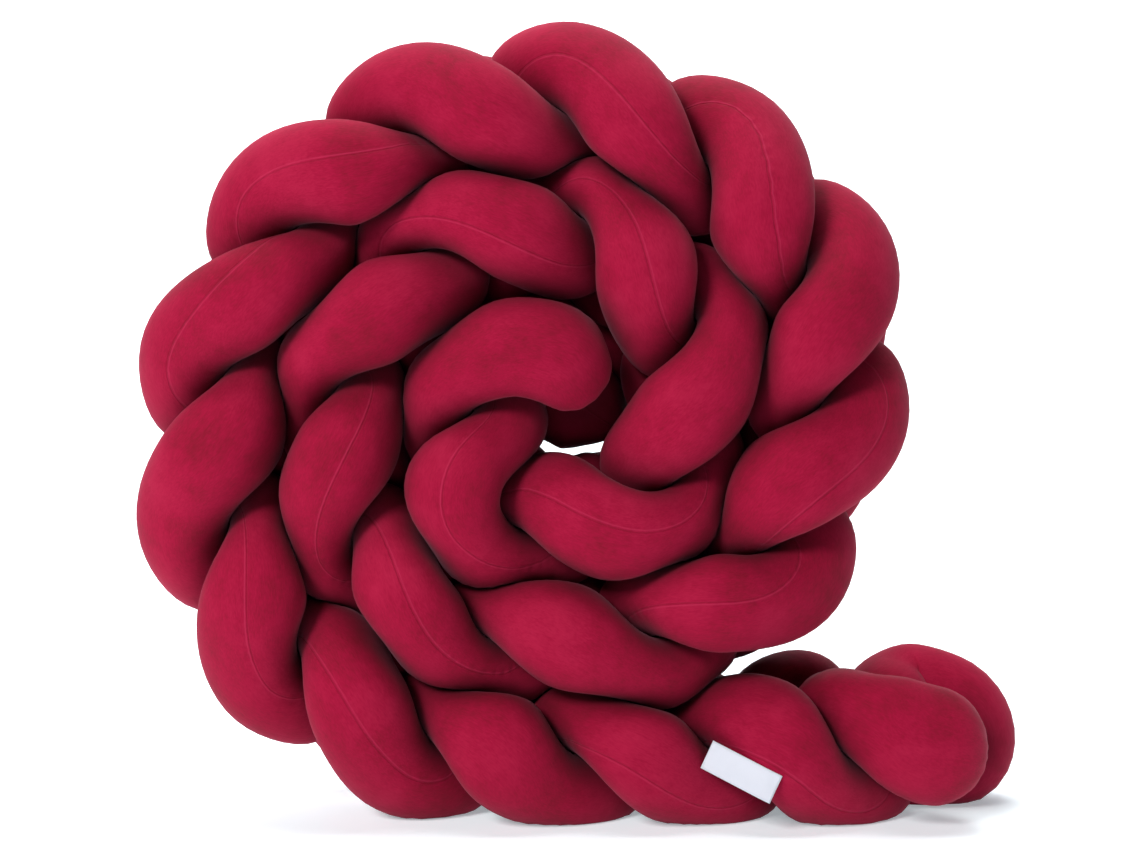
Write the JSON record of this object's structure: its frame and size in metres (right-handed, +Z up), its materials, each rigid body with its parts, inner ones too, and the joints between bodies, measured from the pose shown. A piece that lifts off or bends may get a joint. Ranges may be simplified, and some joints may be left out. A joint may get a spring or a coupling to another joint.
{
  "type": "plaited crib bumper",
  "caption": "Long padded crib bumper: stuffed cloth tubes in a thick flat plait, rolled up into a standing coil with one end lying out along the floor.",
  "frame": {"origin": "on the surface it stands on, under the middle of its bounding box", "axes": "+Z up, -Y out of the coil's face that the picture shows, +X to the right across that face, towards the loose end"},
  "size_m": [0.7164, 0.1936, 0.6338],
  "materials": {
    "velour": "soft short-piled velour knit, crimson, matte with a faint sheen",
    "tape": "smooth woven white tape, matte, bare"
  },
  "bodies": {
    "root": {"folded_tube": "velour", "single_tube": "velour", "label": "tape"}
  },
  "joints": []
}
